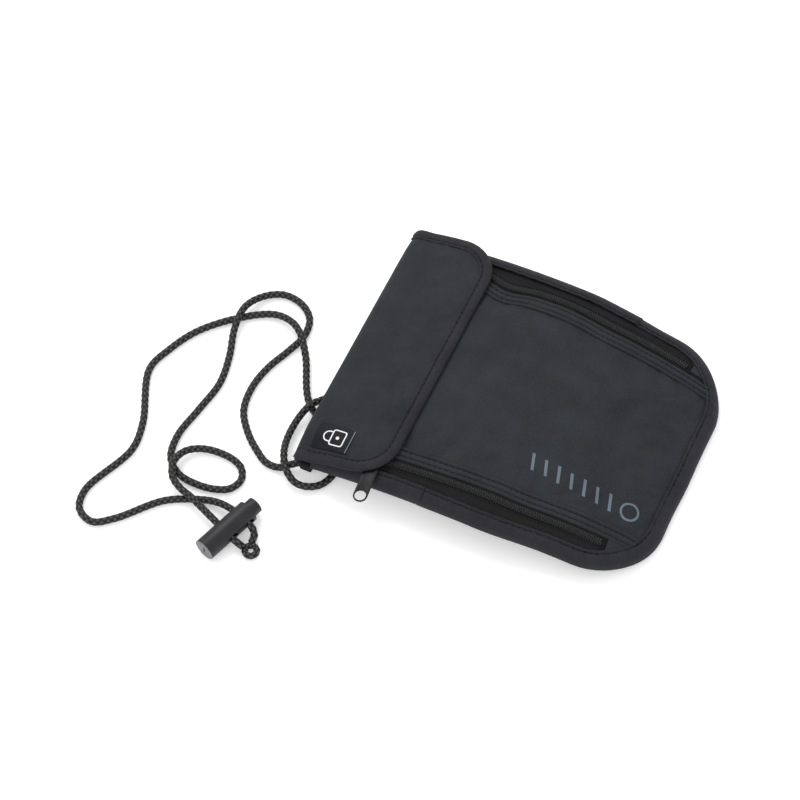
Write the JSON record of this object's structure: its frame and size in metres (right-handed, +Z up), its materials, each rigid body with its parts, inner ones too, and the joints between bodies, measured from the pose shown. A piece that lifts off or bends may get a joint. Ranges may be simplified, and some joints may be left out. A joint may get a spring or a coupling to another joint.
{
  "type": "neck pouch wallet",
  "caption": "Flat arched fabric travel pouch with a fold-over flap, side zips with swivelling pulls, and a braided neck cord with a barrel cord lock.",
  "frame": {"origin": "on the table, under the middle of the pouch's own box (pouch with its zip pull, without the neck cord)", "axes": "+Z up, out of the pouch's front; +Y towards the fold of the flap, where the neck cord leaves; +X to the wearer's left"},
  "size_m": [0.2061, 0.2586, 0.0237],
  "materials": {
    "pack_cloth": "matt woven nylon",
    "flap_cloth": "matt woven nylon",
    "lining_cloth": "smooth thin polyester",
    "shield_foil": "metallised cloth",
    "zip_tape": "herringbone woven tape",
    "zip_teeth": "nylon coil",
    "zip_metal": "black enamel",
    "pull_rubber": "moulded, satin",
    "thread": "twisted thread",
    "binding_tape": "grosgrain",
    "label_cloth": "fine woven label",
    "hook_loop": "hook and loop",
    "cord_braid": "round braid",
    "lock_plastic": "moulded, satin",
    "spring_wire": "drawn wire"
  },
  "bodies": {
    "root": {"back_panel": "pack_cloth", "shield_liner": "shield_foil", "divider_panel": "lining_cloth", "front_panel": "pack_cloth", "facing_left": "pack_cloth", "facing_right": "pack_cloth", "zip_tape_left": "zip_tape", "zip_tape_right": "zip_tape", "zip_coil_left": "zip_teeth", "zip_coil_right": "zip_teeth", "zip_bar_left": "thread", "zip_bar_right": "thread", "zip_end_tab_left": "pack_cloth", "zip_end_tab_right": "pack_cloth", "body_binding": "binding_tape", "side_binding_left": "binding_tape", "side_binding_right": "binding_tape", "loop_strip": "hook_loop", "cord_anchor_left": "binding_tape", "cord_anchor_right": "binding_tape", "neck_cord_left": "cord_braid", "neck_cord_right": "cord_braid", "cord_knot": "cord_braid", "cord_lock_barrel": "lock_plastic", "cord_lock_spring": "spring_wire"},
    "flap_spine": {"flap_spine": "flap_cloth"},
    "flap": {"flap_panel": "flap_cloth", "flap_lining": "lining_cloth", "flap_binding": "binding_tape", "flap_label": "label_cloth", "hook_strip": "hook_loop"},
    "slider_left": {"slider_left": "zip_metal"},
    "slider_right": {"slider_right": "zip_metal"},
    "pull_left": {"pull_left": "pull_rubber"},
    "pull_right": {"pull_right": "pull_rubber"},
    "plunger": {"cord_lock_plunger": "lock_plastic"}
  },
  "joints": [
    {"name": "spine_crease", "type": "hinge", "parent": "root", "child": "flap_spine", "pos_m": [0.0065, 0.0849, 0.00571], "axis": [-1, 0, 0], "range_deg": [0, 65]},
    {"name": "flap_crease", "type": "hinge", "parent": "flap_spine", "child": "flap", "pos_m": [0.0065, 0.0849, 0.01693], "axis": [-1, 0, 0], "range_deg": [0, 75]},
    {"name": "slider_left_travel", "type": "hinge", "parent": "root", "child": "slider_left", "pos_m": [-0.0496, 0.01041, -0.36253], "axis": [0.9988, 0.0489, 0], "range_deg": [0, 15.5]},
    {"name": "slider_right_travel", "type": "hinge", "parent": "root", "child": "slider_right", "pos_m": [0.0626, 0.01041, -0.36253], "axis": [0.9988, -0.0489, 0], "range_deg": [0, 15.5]},
    {"name": "pull_left_swivel", "type": "hinge", "parent": "slider_left", "child": "pull_left", "pos_m": [-0.05143, 0.04788, 0.02014], "axis": [-0.0048, 0.0975, 0.9952], "range_deg": [-30, 90]},
    {"name": "pull_right_swivel", "type": "hinge", "parent": "slider_right", "child": "pull_right", "pos_m": [0.06443, 0.04788, 0.02014], "axis": [0.0048, 0.0975, 0.9952], "range_deg": [-150, 30]},
    {"name": "plunger_press", "type": "slide", "parent": "root", "child": "plunger", "axis": [0.9455, -0.3256, 0], "range_m": [-0.003, 0], "stiffness_N_per_m": 600, "springref_m": 0.001, "deforming": ["cord_lock_spring"]}
  ],
  "couplings": [
    {"joint": "flap_crease", "follows": "spine_crease", "ratio": 1.1538}
  ]
}
